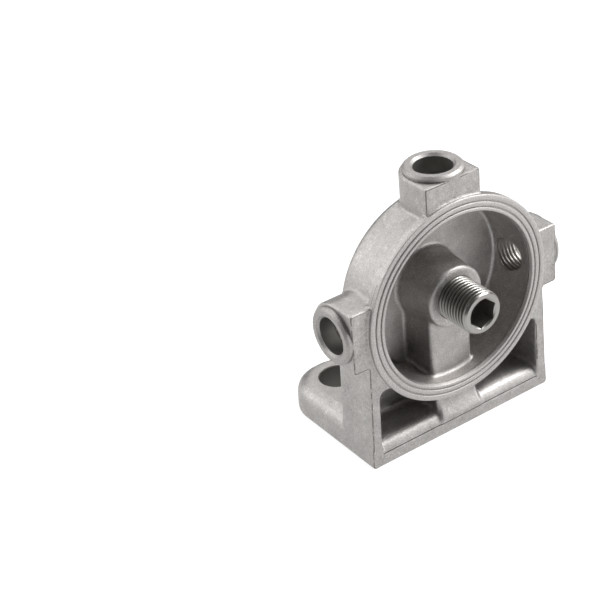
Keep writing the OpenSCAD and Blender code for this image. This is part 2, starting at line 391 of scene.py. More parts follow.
    def skin(self, at: Grid) -> np.ndarray:
        """The whole casting as one distance field.

        Args:
            at: the grid.

        Returns:
            The field, negative inside the metal.
        """
        x, y, z = at
        drum = self.bowl(at)
        body = np.minimum(np.minimum(self.foot(at), self.wall(at)), drum)
        body = self.back_bosses(at, round_join(body, self.rib(at), self.rib_join))
        up = z - self.stud_z
        for across, out in ((x, up), (up, x), (up, -x)):
            reach = self.top_reach if out is up else self.side_reach
            body = round_join(body, self.port_block(across, y, out, reach), self.close_join)
        body = np.maximum(body, self.face_y - y)
        body = np.maximum(body, -self.pockets(at, drum))
        flange = self.around_stud(x, z) - self.flange_r
        flange = np.maximum(flange, np.maximum(self.rim_y - y, y - self.rim_y - self.flange_t))
        body = round_join(np.minimum(body, drum), flange + self.flange_stock, self.flange_join)
        body = np.maximum(body, -self.hollow(at))
        return np.maximum(round_join(body, self.stud_seat(at), self.corner_join), y - self.foot_back)


@dataclass(frozen=True)
class SkinMesher:
    """Turns a distance field into a closed mesh of even squares."""

    step: float = 0.4
    margin: float = 1.5
    band: float = 2.5
    soften: float = 0.24
    blur_reach: int = 3

    def blur(self, values: np.ndarray) -> np.ndarray:
        """Softens a field with a bell curve along each axis, which rounds every sharp edge a little.

        Args:
            values: the field on the grid.

        Returns:
            The softened field, on the same grid.
        """
        reach = self.blur_reach
        steps = np.arange(-reach, reach + 1) * self.step
        weights = np.exp(-0.5 * (steps / self.soften) ** 2)
        weights /= weights.sum()
        for axis in range(3):
            ends = [(reach, reach) if a == axis else (0, 0) for a in range(3)]
            padded = np.pad(values, ends, mode="edge")
            total = np.zeros_like(values)
            for shift, weight in enumerate(weights):
                part = [slice(None)] * 3
                part[axis] = slice(shift, shift + values.shape[axis])
                total += np.float32(weight) * padded[tuple(part)]
            values = total
        return values

    def mesh(self, body: CastBody, low: np.ndarray, high: np.ndarray) -> tuple[np.ndarray, np.ndarray]:
        """Samples the body on a grid and joins the cells that its skin crosses.

        Each crossed cell gets one vertex, at the mean of the points where the skin crosses the cell's
        edges. Each crossed grid edge gets one square, from the four cells around it.

        Args:
            body: the shape.
            low: lowest corner of the part.
            high: highest corner of the part.

        Returns:
            Vertices in millimetres and the squares' vertex numbers.
        """
        start = low - self.margin
        counts = np.ceil((high + self.margin - start) / self.step).astype(int) + 1
        lines = [(start[a] + self.step * np.arange(counts[a])).astype(np.float32) for a in range(3)]
        x, y, z = lines[0][:, None, None], lines[1][None, :, None], lines[2][None, None, :]
        values = np.clip(body.skin((x, y, z)), -self.band, self.band).astype(np.float32)
        values = self.blur(values)
        inside = values < 0
        cells = [slice(0, -1), slice(1, None)]
        corners = [(i, j, k) for i in (0, 1) for j in (0, 1) for k in (0, 1)]
        total = sum(inside[cells[i], cells[j], cells[k]].astype(np.uint8) for i, j, k in corners)
        at = np.argwhere((total > 0) & (total < 8))
        number = np.full(total.shape, -1, np.int32)
        number[at[:, 0], at[:, 1], at[:, 2]] = np.arange(len(at))
        sums = np.zeros((len(at), 3))
        hits = np.zeros(len(at))
        for axis in range(3):
            others = [a for a in range(3) if a != axis]
            for p in (0, 1):
                for q in (0, 1):
                    offset = np.zeros(3, int)
                    offset[others[0]], offset[others[1]] = p, q
                    a = at + offset
                    b = a.copy()
                    b[:, axis] += 1
                    va = values[a[:, 0], a[:, 1], a[:, 2]]
                    vb = values[b[:, 0], b[:, 1], b[:, 2]]
                    crossed = (va < 0) != (vb < 0)
                    share = np.where(crossed, va / np.where(crossed, va - vb, 1), 0)
                    point = a.astype(float)
                    point[:, axis] += share
                    sums += np.where(crossed[:, None], point, 0)
                    hits += crossed
        vertices = start + self.step * sums / hits[:, None]
        squares = []
        for axis in range(3):
            u, v = [a for a in range(3) if a != axis]
            head = [slice(None)] * 3
            tail = [slice(None)] * 3
            head[axis], tail[axis] = slice(0, -1), slice(1, None)
            first, second = inside[tuple(head)], inside[tuple(tail)]
            edges = np.argwhere(first != second)
            edges = edges[(edges[:, u] > 0) & (edges[:, v] > 0)]
            ring = []
            for du, dv in ((-1, -1), (0, -1), (0, 0), (-1, 0)):
                cell = edges.copy()
                cell[:, u] += du
                cell[:, v] += dv
                ring.append(number[cell[:, 0], cell[:, 1], cell[:, 2]])
            quad = np.stack(ring, 1)
            outward = first[edges[:, 0], edges[:, 1], edges[:, 2]]
            flip = outward if axis == 1 else ~outward
            quad[flip] = quad[flip][:, ::-1]
            squares.append(quad)
        return vertices, np.concatenate(squares)


def axis_frame(axis: Axis) -> tuple[np.ndarray, np.ndarray, np.ndarray]:
    """Finds the directions that a turned shape is drawn with.

    Args:
        axis: the line that the shape is turned about.

    Returns:
        The direction along the axis and two across it, which turn anticlockwise seen from the tip.
    """
    along = np.array(axis.value)
    helper = np.array([1.0, 0.0, 0.0]) if abs(along[2]) > 0.5 else np.array([0.0, 0.0, 1.0])
    first = np.cross(helper, along)
    return along, first, np.cross(along, first)


def add_mesh(name: str, vertices: np.ndarray, faces: list[np.ndarray],
             materials: list[Material]) -> Object:
    """Makes an object from arrays.

    Args:
        name: the object's name.
        vertices: one row of three numbers for each vertex, in millimetres.
        faces: arrays with one row of vertex numbers for each face; each array has its own count of corners.
        materials: the materials of its slots.

    Returns:
        The new object, linked to the scene.
    """
    mesh = bpy.data.meshes.new(name)
    corners = np.concatenate([np.full(len(f), f.shape[1], np.int32) for f in faces])
    numbers = np.concatenate([f.astype(np.int32).ravel() for f in faces])
    mesh.vertices.add(len(vertices))
    mesh.vertices.foreach_set("co", (vertices * MM).astype(np.float32).ravel())
    mesh.loops.add(len(numbers))
    mesh.loops.foreach_set("vertex_index", numbers)
    mesh.polygons.add(len(corners))
    mesh.polygons.foreach_set("loop_start", np.concatenate([[0], np.cumsum(corners)[:-1]]).astype(np.int32))
    mesh.update(calc_edges=True)
    mesh.validate()
    for material in materials:
        mesh.materials.append(material)
    piece = bpy.data.objects.new(name, mesh)
    bpy.context.scene.collection.objects.link(piece)
    return piece


def tidy_mesh(piece: Object) -> None:
    """Merges vertices that lie on each other and drops the faces that this flattens.

    Args:
        piece: the piece to clean.
    """
    net = bmesh.new()
    net.from_mesh(piece.data)
    bmesh.ops.remove_doubles(net, verts=net.verts, dist=2e-6)
    bmesh.ops.dissolve_degenerate(net, edges=net.edges, dist=1e-7)
    net.to_mesh(piece.data)
    net.free()


def turned(name: str, profile: list[tuple[float, float]], axis: Axis, centre: np.ndarray,
           material: Material, segments: int = 128, closed: bool = False,
           phase: float = 0.0) -> Object:
    """Turns a profile about an axis.

    Args:
        name: the object's name.
        profile: pairs of radius and height along the axis, going up on the outside.
        axis: direction of the axis.
        centre: point of the axis at height 0.
        material: the finish of the turned faces.
        segments: count of flat strips round the axis.
        closed: True for a ring whose last pair joins the first, False for a solid with two flat ends.
        phase: angle of the first strip's edge in degrees.

    Returns:
        The closed solid.
    """
    along, first, second = axis_frame(axis)
    pairs = np.array(profile, float)
    angle = math.radians(phase) + 2 * math.pi * np.arange(segments) / segments
    spoke = np.cos(angle)[:, None] * first + np.sin(angle)[:, None] * second
    vertices = centre + pairs[:, 0, None, None] * spoke + pairs[:, 1, None, None] * along
    number = np.arange(len(pairs) * segments).reshape(len(pairs), segments)
    if closed:
        number = np.concatenate([number, number[:1]])
    right = np.roll(number, -1, axis=1)
    faces = [np.stack([number[:-1], right[:-1], right[1:], number[1:]], -1).reshape(-1, 4)]
    if not closed:
        faces += [number[:1, ::-1], number[-1:]]
    return add_mesh(name, vertices.reshape(-1, 3), faces, [material])


def slab(name: str, low: tuple[float, float, float], high: tuple[float, float, float],
         material: Material) -> Object:
    """Makes a box.

    Args:
        name: the object's name.
        low: its lowest corner.
        high: its highest corner.
        material: the finish.

    Returns:
        The closed box.
    """
    corners = np.array([[(low, high)[i][0], (low, high)[j][1], (low, high)[k][2]]
                        for i in (0, 1) for j in (0, 1) for k in (0, 1)])
    faces = np.array([(0, 1, 3, 2), (4, 6, 7, 5), (0, 4, 5, 1), (2, 3, 7, 6), (0, 2, 6, 4), (1, 5, 7, 3)])
    return add_mesh(name, corners, [faces], [material])


@dataclass(frozen=True)
class Thread:
    """A screw thread's form: a flat root, straight flanks and a crest with broken edges."""

    pitch: float
    depth: float
    columns: int = 72
    share: tuple[float, ...] = (0.0, 0.11, 0.255, 0.40, 0.45, 0.55, 0.60, 0.745, 0.89)
    height: tuple[float, ...] = (0.0, 0.0, 0.48, 0.93, 1.0, 1.0, 0.93, 0.48, 0.0)

    def screw(self, name: str, low: float, high: float,
              radius: Callable[[np.ndarray, np.ndarray], np.ndarray], axis: Axis, centre: np.ndarray,
              material: Material) -> Object:
        """Makes a solid with this thread on its outside.

        The rows of the grid climb by one pitch in each turn, so each row follows the helix, and the
        last column joins the first one pitch higher. Heights past an end are held at the end, where
        the given radius no longer depends on the thread, so those rows fall together.

        Args:
            name: the object's name.
            low: height of the lower end along the axis.
            high: height of the upper end.
            radius: gives the radius from the height along the axis and the thread's height from 0 to depth.
            axis: direction of the axis.
            centre: point of the axis at height 0.
            material: the finish.

        Returns:
            The closed solid.
        """
        per_turn = len(self.share)
        turns = np.arange(math.floor(low / self.pitch) - 2, math.ceil(high / self.pitch) + 2)
        row = (turns[:, None] + np.array(self.share)).ravel()
        lift = np.tile(np.array(self.height) * self.depth, len(turns))[:, None]
        turn = np.arange(self.columns) / self.columns
        height = np.clip((row[:, None] + turn) * self.pitch, low, high)
        spread = radius(height, lift)
        along, first, second = axis_frame(axis)
        spoke = np.cos(2 * math.pi * turn)[:, None] * first + np.sin(2 * math.pi * turn)[:, None] * second
        vertices = centre + spread[..., None] * spoke + height[..., None] * along
        number = np.arange(height.size).reshape(height.shape)
        inner = np.stack([number[:-1, :-1], number[:-1, 1:], number[1:, 1:], number[1:, :-1]], -1)
        last, start = number[:-per_turn, -1], number[per_turn:, 0]
        seam = np.stack([last[:-1], start[:-1], start[1:], last[1:]], -1)
        faces = [inner.reshape(-1, 4), seam, number[:1, ::-1], number[-1:]]
        piece = add_mesh(name, vertices.reshape(-1, 3), faces, [material])
        tidy_mesh(piece)
        return piece


def combine(piece: Object, others: list[Object], operation: str) -> None:
    """Adds other solids to a piece, or cuts them out of it, and removes them from the scene.

    Args:
        piece: the solid that changes.
        others: closed solids; their finish goes onto the faces that they leave.
        operation: UNION or DIFFERENCE.
    """
    for other in others:
        change = piece.modifiers.new(other.name, "BOOLEAN")
        change.operation = operation
        change.solver = "MANIFOLD"
        change.material_mode = "TRANSFER"
        change.object = other
    bake(piece)
    for other in others:
        bpy.data.objects.remove(other)


def bake(piece: Object) -> None:
    """Turns a piece's modifiers into plain mesh.

    Args:
        piece: the piece with modifiers.
    """
    bpy.context.view_layer.update()
    shown = piece.evaluated_get(bpy.context.evaluated_depsgraph_get())
    mesh = bpy.data.meshes.new_from_object(shown)
    piece.modifiers.clear()
    piece.data = mesh


def smooth(piece: Object, angle: float = 32.0) -> None:
    """Shades a piece smooth, with hard edges where its faces meet sharply.

    Args:
        piece: the piece.
        angle: angle in degrees from which an edge is hard.
    """
    piece.data.shade_smooth()
    piece.data.set_sharp_from_angle(angle=math.radians(angle))
    even = piece.modifiers.new("even normals", "WEIGHTED_NORMAL")
    even.keep_sharp = True
    even.weight = 60
    bake(piece)


def add_node(tree: NodeTree, kind: str, inputs: dict | None = None, tones: Tones = (),
             **settings) -> Node:
    """Adds a shader node.

    Args:
        tree: the node tree.
        kind: the node's type without the ShaderNode in front.
        inputs: value or source socket for each input, by name or number.
        tones: the tones of a colour ramp.
        settings: the node's own properties.

    Returns:
        The new node.
    """
    node = tree.nodes.new("ShaderNode" + kind)
    for key, value in settings.items():
        setattr(node, key, value)
    for key, value in (inputs or {}).items():
        if isinstance(value, NodeSocket):
            tree.links.new(value, node.inputs[key])
        else:
            node.inputs[key].default_value = value
    if tones:
        stops = node.color_ramp.elements
        for at, code in tones[1:-1]:
            stops.new(at).color = srgb(code)
        for stop, (at, code) in ((stops[0], tones[0]), (stops[-1], tones[-1])):
            stop.position = at
            stop.color = srgb(code)
    return node


def per_mm(size: float) -> float:
    """The scale of a pattern whose marks are the given size in millimetres."""
    return 1 / (size * MM)


class Metal:
    """A material of bare metal under construction, with its shader and its object coordinates."""

    def __init__(self, name: str, roughness: float) -> None:
        """Starts the material.

        Args:
            name: the material's name.
            roughness: its roughness.
        """
        self.material = bpy.data.materials.new(name)
        self.material.use_nodes = True
        self.tree = self.material.node_tree
        self.shader = self.tree.nodes["Principled BSDF"]
        self.shader.inputs["Metallic"].default_value = 1.0
        self.shader.inputs["Roughness"].default_value = roughness
        self.place = add_node(self.tree, "TexCoord").outputs["Object"]

    def marks(self, size: float) -> NodeSocket:
        """An uneven pattern from 0 to 1, whose marks have the given size in millimetres."""
        inputs = {"Vector": self.place, "Scale": per_mm(size), "Detail": 2.0}
        return add_node(self.tree, "TexNoise", inputs).outputs[0]

    def dress(self, height: NodeSocket, depth: float,
              colour: NodeSocket | None = None) -> Material:
        """Gives the metal its relief and its colour.

        Args:
            height: the socket of the relief's height, from 0 to 1.
            depth: the relief's depth in millimetres.
            colour: the colour's socket, if it isn't one colour.

        Returns:
            The finished material.
        """
        bump = add_node(self.tree, "Bump", {"Height": height, "Distance": depth * MM, "Strength": 1.0})
        self.tree.links.new(bump.outputs[0], self.shader.inputs["Normal"])
        if colour is not None:
            self.tree.links.new(colour, self.shader.inputs["Base Color"])
        return self.material


@dataclass(frozen=True)
class CastFinish:
    """Shot-blasted cast aluminium: a matte, even grey with a fine grain of tiny dents.

    The two halves of the die met at the front face, which leaves a thin, broken dark line on the
    upright edges there. Faces that look up and the long bar under the pockets don't have it. The
    grain is drawn a little coarser than shot leaves it, so that it shows.
    """

    name: str = "aluminium_cast_shot_blasted"
    tones: Tones = ((0.28, "#8f8c8a"), (0.42, "#aeaba9"), (0.56, "#bcb9b7"), (0.70, "#dad7d5"))
    parting: str = "#7d7a76"
    roughness: float = 0.5
    grain: float = 0.55
    patch: float = 2.2
    cloud: float = 8.0
    dent: float = 0.06
    line_y: float = -40.76
    line_half: float = 0.11
    line_x: float = 38.0
    line_z: float = 12.0
    line_tilt: float = 0.5
    line_gaps: tuple[float, float] = (0.36, 0.5)

    def parting_line(self, metal: Metal, patch: NodeSocket) -> NodeSocket:
        """Where the parting line shows: the product of masks for its plane, stretch, faces and gaps.

        Args:
            metal: the metal under construction.
            patch: the pattern that breaks the line.

        Returns:
            The socket of the line's strength.
        """
        tree = metal.tree
        local = add_node(tree, "SeparateXYZ", {0: metal.place}).outputs
        plane = add_node(tree, "Math", {0: local["Y"], 1: self.line_y * MM, 2: self.line_half * MM},
                         operation="COMPARE")
        aside = add_node(tree, "Math", {0: local["X"]}, operation="ABSOLUTE")
        outer, upper = (add_node(tree, "Math", {0: value, 1: start * MM}, operation="GREATER_THAN")
                        for value, start in ((aside.outputs[0], self.line_x), (local["Z"], self.line_z)))
        stretch = add_node(tree, "Math", {0: outer.outputs[0], 1: upper.outputs[0]}, operation="MAXIMUM")
        facing = add_node(tree, "SeparateXYZ", {0: add_node(tree, "NewGeometry").outputs["Normal"]})
        upright = add_node(tree, "Math", {0: facing.outputs["Z"], 1: self.line_tilt}, operation="LESS_THAN")
        low, high = self.line_gaps
        shown = add_node(tree, "MapRange", {"Value": patch, "From Min": low, "From Max": high}).outputs[0]
        for mask in (plane, stretch, upright):
            shown = add_node(tree, "Math", {0: shown, 1: mask.outputs[0]}, operation="MULTIPLY").outputs[0]
        return shown

    def make(self) -> Material:
        """Builds the material, whose tone is half grain, a quarter patches and a quarter clouds.

        Returns:
            The material.
        """
        metal = Metal(self.name, self.roughness)
        cloud, patch, grain = (metal.marks(size) for size in (self.cloud, self.patch, self.grain))
        tone = 0.0
        for value, share in ((cloud, 0.25), (patch, 0.25), (grain, 0.5)):
            tone = add_node(metal.tree, "Math", {0: value, 1: share, 2: tone},
                            operation="MULTIPLY_ADD").outputs[0]
        skin = add_node(metal.tree, "ValToRGB", {0: tone}, self.tones).outputs[0]
        line = self.parting_line(metal, patch)
        colour = add_node(metal.tree, "Mix", {0: line, 6: skin, 7: srgb(self.parting)}, data_type="RGBA")
        dents = add_node(metal.tree, "Math", {0: patch, 1: grain}, operation="ADD")
        return metal.dress(dents.outputs[0], self.dent, colour.outputs[2])


@dataclass(frozen=True)
class TurnedFinish:
    """Turned aluminium: a satin face with faint rings left by the tool round the axis.

    The rings are drawn a little coarser than the tool's feed, so that they show.
    """

    name: str
    axis: Axis
    centre: tuple[float, float, float]
    tones: Tones = ((0.30, "#a19e9c"), (0.50, "#b0adab"), (0.68, "#bfbcba"))
    roughness: float = 0.57
    ring: float = 0.16
    grain: float = 0.4
    groove: float = 0.01

    def make(self) -> Material:
        """Builds the material, whose relief is an uneven pattern along the distance from the axis.

        Returns:
            The material.
        """
        metal = Metal(self.name, self.roughness)
        tree = metal.tree
        local = add_node(tree, "VectorMath", {0: metal.place, 1: tuple(c * MM for c in self.centre)},
                         operation="SUBTRACT")
        parts = [add_node(tree, "VectorMath", {0: local.outputs[0], 1: tuple(d)}, operation="DOT_PRODUCT")
                 for d in axis_frame(self.axis)[1:]]
        flat = add_node(tree, "CombineXYZ", {0: parts[0].outputs["Value"], 1: parts[1].outputs["Value"]})
        radius = add_node(tree, "VectorMath", {0: flat.outputs[0]}, operation="LENGTH")
        rings = add_node(tree, "TexNoise", {"W": radius.outputs["Value"], "Scale": per_mm(self.ring),
                                            "Detail": 1.0}, noise_dimensions="1D")
        grain = metal.marks(self.grain)
        relief = add_node(tree, "Math", {0: rings.outputs[0], 1: grain}, operation="ADD")
        colour = add_node(tree, "ValToRGB", {0: grain}, self.tones)
        return metal.dress(relief.outputs[0], self.groove, colour.outputs[0])


@dataclass(frozen=True)
class PlainFinish:
    """A cut metal of one colour, with a faint grain that is drawn coarse enough to show."""

    name: str
    colour: str
    roughness: float
    grain: float = 0.25
    dent: float = 0.004

    def make(self) -> Material:
        """Builds the material.

        Returns:
            The material.
        """
        metal = Metal(self.name, self.roughness)
        metal.shader.inputs["Base Color"].default_value = srgb(self.colour)
        return metal.dress(metal.marks(self.grain), self.dent)


@dataclass(frozen=True)
class ThreadFinish:
    """Zinc-plated steel of a thread: bright satin crests, and roots painted darker as the shade in the
    thread's grooves.
    """

    name: str
    stud_z: float
    end_y: float
    crest: str = "#a9a7a3"
    # Painted shade: the roots' dark colour stands in for the shade deep in the thread's grooves.
    root: str = "#484642"
    roughness: float = 0.33
    root_r: float = 7.15
    crest_r: float = 7.75
    plain: float = 1.3
    grain: float = 0.25
    dent: float = 0.004

    def make(self) -> Material:
        """Builds the material, which goes from the painted shade of the roots to the crest colour with the
        distance from the axis.

        Returns:
            The material.
        """
        metal = Metal(self.name, self.roughness)
        tree = metal.tree
        local = add_node(tree, "SeparateXYZ", {0: metal.place})
        up = add_node(tree, "Math", {0: local.outputs["Z"], 1: self.stud_z * MM}, operation="SUBTRACT")
        spoke = add_node(tree, "CombineXYZ", {0: local.outputs["X"], 1: up.outputs[0]})
        radius = add_node(tree, "VectorMath", {0: spoke.outputs[0]}, operation="LENGTH")
        height = add_node(tree, "MapRange", {"Value": radius.outputs["Value"], "From Min": self.root_r * MM,
                                             "From Max": self.crest_r * MM})
        ahead = add_node(tree, "Math", {0: local.outputs["Y"], 1: (self.end_y + self.plain) * MM},
                         operation="LESS_THAN")
        bright = add_node(tree, "Math", {0: height.outputs[0], 1: ahead.outputs[0]}, operation="MAXIMUM")
        # Painted shade: the colour darkens towards the roots with the distance from the axis, except on the
        # plain end.
        colour = add_node(tree, "Mix", {0: bright.outputs[0], 6: srgb(self.root), 7: srgb(self.crest)},
                          data_type="RGBA")
        return metal.dress(metal.marks(self.grain), self.dent, colour.outputs[2])


@dataclass(frozen=True)
class Casting:
    """The head casting: the cast skin with its turned faces, bores and threads."""

    body: CastBody = field(default_factory=CastBody)
    keep_faces: float = 0.25
    port_thread: Thread = Thread(1.5, 0.8)
    vent_thread: Thread = Thread(1.25, 0.65, 48)
    groove_r: tuple[float, float] = (36.2, 34.1)
    groove_half: float = 0.22
    groove_depth: float = 0.7
    crown: float = 0.5
    rim_foot: float = 1.1
    rim_gap: float = 0.03
    collar_r: float = 10.5
    collar_face_r: float = 9.6
    collar_h: float = 2.0
    collar_neck: float = 0.2
    port_mouth_r: float = 7.8
    plain_r: float = 6.9
    plain_depth: float = 6.8
    port_minor: float = 6.2
    port_end: float = 30.2
    run_out: float = 0.6
    back_minor: float = 7.2
    back_depth: float = 10.2
    vent_minor: float = 3.35
    vent_depth: float = 8.6
    bolt_r: float = 6.75
    bolt_mouth: float = 1.2
    seat_r: float = 8.05
    seat_y: float = -28.3
    seat_depth: float = 12.75
    seat_chamfer: float = 0.9
    bore_r: float = 4.0
    line_width: float = 0.25
    line_depth: float = 0.9
    pin_mark: tuple[float, float] = (15.9, 68.7)
    pin_mark_r: float = 2.2
    pin_mark_cut: float = 0.12

    def at_stud(self, y: float) -> np.ndarray:
        """A point of the stud's axis."""
        return np.array([0.0, y, self.body.stud_z])

    def ports(self) -> dict[str, tuple[Axis, np.ndarray, float]]:
        """The three ports with collars.

        Returns:
            Each port's direction, the centre of its collar's face and the depth of its hollow.
        """
        y, z = self.body.port_y, self.body.stud_z
        top, side = (reach + self.collar_h for reach in (self.body.top_reach, self.body.side_reach))
        return {"top": (Axis.UP, np.array([0, y, z + top]), top - self.port_end),
                "left": (Axis.LEFT, np.array([-side, y, z]), side - self.port_end),
                "right": (Axis.RIGHT, np.array([side, y, z]), side - self.port_end)}

    def ridge(self, outer: float, inner: float, height: float) -> list[tuple[float, float]]:
        """One rounded ridge of the rim, from its outer edge to its inner edge.

        The height falls from the crown as a superellipse of the third power.

        Args:
            outer: radius of the ridge's outer edge.
            inner: radius of its inner edge.
            height: how far the ridge's edges lie under its crown.

        Returns:
            Pairs of radius and height.
        """
        share = np.cos(np.linspace(0, math.pi, 15))
        top = height * ((1 - np.abs(share) ** 3) ** (1 / 3) - 1)
        radii = (outer + inner) / 2 + (outer - inner) / 2 * share
        return list(zip(radii, top))

    def rim(self, material: Material) -> Object:
        """The turned rim: three rounded ridges with two narrow grooves between them.

        Args:
            material: the turned finish.

        Returns:
            The solid rim.
        """
        body = self.body
        outside, inside = body.flange_r - self.rim_gap, body.mouth_r + self.rim_gap
        profile = [(body.mouth_r - 0.2, -self.rim_foot), (outside, -self.rim_foot)]
        start = outside
        for middle in self.groove_r:
            outer, inner = middle + self.groove_half, middle - self.groove_half
            profile += [*self.ridge(start, outer, self.crown), (outer, -self.groove_depth),
                        (inner, -self.groove_depth)]
            start = inner
        profile += self.ridge(start, inside, self.crown)
        return turned("rim", profile, Axis.FRONT, self.at_stud(body.rim_y), material, 256, True)

    def flange(self, material: Material) -> Object:
        """The flange behind the rim, a disc with a broken rear edge.

        Args:
            material: the cast finish.

        Returns:
            The solid ring.
        """
        inside, drum, edge = self.body.mouth_r, self.body.bowl_r, self.body.flange_r
        back = -self.body.flange_t
        profile = [(inside, -1.0), (inside, -3.0), (drum + 0.3, -3.0), (drum + 0.4, back + 0.15),
                   (edge - 0.3, back), (edge, back + 0.3), (edge, -0.8), (drum - 0.5, -1.0)]
        return turned("flange", profile, Axis.FRONT, self.at_stud(self.body.rim_y), material, 256, True)

    def collar(self, name: str, axis: Axis, face: np.ndarray,
               material: Material) -> Object:
        """A turned collar with a broad chamfer and a fine groove at its foot.

        Args:
            name: the object's name.
            axis: direction out of the port.
            face: centre of the collar's face.
            material: the turned finish.

        Returns:
            The solid collar.
        """
        r, flat, neck = self.collar_r, self.collar_face_r, self.collar_r - self.collar_neck
        profile = [(neck, -self.collar_h - 1), (neck, 0.3 - self.collar_h), (r, 0.45 - self.collar_h),
                   (r, -0.85), (r - 0.12, -0.7), (flat + 0.15, -0.1), (flat, 0.0)]
        return turned(name, profile, axis, face, material)

    def port_cuts(self, name: str, finishes: Finishes) -> list[Object]:
        """The hollow of a port: the chamfered mouth, the plain bore and the thread behind it.

        Args:
            name: the port's name.
            finishes: the materials by name.

        Returns:
            The solids that are cut out.
        """
        axis, face, length = self.ports()[name]
        end, widest = -self.plain_depth, self.plain_r - 0.05

        def radius(height: np.ndarray, lift: np.ndarray) -> np.ndarray:
            """The thread's radius, never wider than the plain bore, with a chamfer at its inner end.

            Args:
                height: height from the port's face, negative inside the casting.
                lift: the thread's height.

            Returns:
                The radius.
            """
            start = widest + 2 * (height - end - self.run_out)
            screw = np.maximum(np.minimum(self.port_minor + lift, widest), start)
            return np.maximum(screw, self.plain_r + 0.2 - 2 * (height + length))

        thread = self.port_thread.screw("thread_" + name, -length, end + self.run_out, radius, axis, face,
                                        finishes["cut"])
        plain = [(self.plain_r - 0.5, end - 0.5), (self.plain_r, end), (self.plain_r, 0.3)]
        mouth = [(self.port_mouth_r - 1.2, -1.2), (self.port_mouth_r + 0.6, 0.6)]
        # The plain bore takes the bore finish, painted dark as the shade inside the port.
        return [thread, turned("plain_" + name, plain, axis, face, finishes["bore"]),
                turned("mouth_" + name, mouth, axis, face, finishes[name])]

    def threaded_cut(self, name: str, thread: Thread, minor: float, face: np.ndarray, length: float,
                     material: Material) -> Object:
        """A threaded hole in the back face.

        Args:
            name: the object's name.
            thread: the thread's form.
            minor: radius of the thread's crests.
            face: centre of the hole's mouth.
            length: depth of the hole.
            material: the finish of the cut metal.

        Returns:
            The solid that is cut out.
        """
        def radius(height: np.ndarray, lift: np.ndarray) -> np.ndarray:
            """The thread's radius with a chamfer at both ends."""
            broken = minor + thread.depth + 0.1
            return np.maximum(minor + lift, np.maximum(broken + height, broken - 2 * (height + length)))

        return thread.screw(name, -length, self.run_out, radius, Axis.BACK, face, material)

    def back_cuts(self, finishes: Finishes) -> list[Object]:
        """The back port, the bleed hole, and the bore and seat of the stud.

        Args:
            finishes: the materials by name.

        Returns:
            The solids that are cut out.
        """
        body, cut = self.body, finishes["cut"]
        face = self.at_stud(body.back_y + body.ring_h)
        vent = np.array([0, body.back_y + body.vent_h, body.vent_z])
        seat = [(self.seat_r, 0), (self.seat_r, self.seat_depth - self.seat_chamfer),
                (self.seat_r + self.seat_chamfer, self.seat_depth)]
        return [self.threaded_cut("back", self.port_thread, self.back_minor, face, self.back_depth, cut),
                self.threaded_cut("vent", self.vent_thread, self.vent_minor, vent, self.vent_depth, cut),
                turned("stud_bore", [(self.bore_r, -12), (self.bore_r, 1)], Axis.BACK,
                       face - [0, self.back_depth, 0], cut, 64),
                turned("seat", seat, Axis.FRONT, self.at_stud(self.seat_y), cut, 96)]

    def foot_cuts(self, finishes: Finishes) -> list[Object]:
        """The fine line over the sill, the bolt holes, and the round marks of two ejector pins.

        Args:
            finishes: the materials by name.

        Returns:
            The solids that are cut out.
        """
        body, r, top_z = self.body, self.bolt_r, self.body.pad_top
        edge = body.foot_half - body.draft * body.sill_top - body.pocket_wall
        low = body.sill_top + 0.05
        # The line's groove takes the nearly black finish, painted shade inside it.
        cuts = [slab("bar_line", (-edge, body.face_y - 1, low),
                     (edge, body.face_y + self.line_depth, low + self.line_width), finishes["line"])]
        hole = [(r + 1.3, -1), (r, 0.3), (r, top_z - 0.2), (r + self.bolt_mouth, top_z + 1)]
        wide, narrow = (self.pin_mark_r + side * self.pin_mark_cut for side in (1, -1))
        ring = [(narrow, -self.pin_mark_cut), (wide, -self.pin_mark_cut), (wide, 0.4), (narrow, 0.4)]
        for side in (-1, 1):
            bolt = np.array([side * body.bolt_x, 0, 0])
            mark = np.array([side * self.pin_mark[0], body.back_y, self.pin_mark[1]])
            # The bolt holes take the bore finish, painted dark as the shade inside them.
            cuts.append(turned("bolt_hole", hole, Axis.UP, bolt, finishes["bore"], 96))
            cuts.append(turned("pin_mark", ring, Axis.BACK, mark, finishes["cast"], 48, True))
        return cuts

    def build(self, finishes: Finishes) -> Object:
        """Builds the whole casting.

        Args:
            finishes: the materials by name.

        Returns:
            The casting as one closed mesh.
        """
        body = self.body
        low, high = (np.array(c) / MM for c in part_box("head_casting"))
        vertices, squares = SkinMesher().mesh(body, low, high)
        piece = add_mesh("head_casting_dressed", vertices, [squares], [finishes["cast"]])
        fewer = piece.modifiers.new("fewer faces", "DECIMATE")
        fewer.ratio = self.keep_faces
        bake(piece)
        log.info("skin: %d faces", len(piece.data.polygons))
        mouth = [(body.flange_r - 0.08, -2.2), (body.flange_r - 0.08, 1)]
        clear = turned("clear", mouth, Axis.FRONT, self.at_stud(body.rim_y), finishes["cast"])
        combine(piece, [clear], "DIFFERENCE")
        ring = body.ring_r - 0.02
        adds = [self.rim(finishes["rim"]), self.flange(finishes["cast"])]
        adds += [self.collar("collar_" + key, axis, face, finishes[key])
                 for key, (axis, face, _) in self.ports().items()]
        adds.append(turned("ring", [(ring, -0.9), (ring, -0.25), (ring - 0.28, 0.0)], Axis.BACK,
                           self.at_stud(body.back_y + body.ring_h), finishes["back"]))
        combine(piece, adds, "UNION")
        cuts = [solid for key in self.ports() for solid in self.port_cuts(key, finishes)]
        combine(piece, cuts + self.back_cuts(finishes) + self.foot_cuts(finishes), "DIFFERENCE")
        smooth(piece)
        return piece


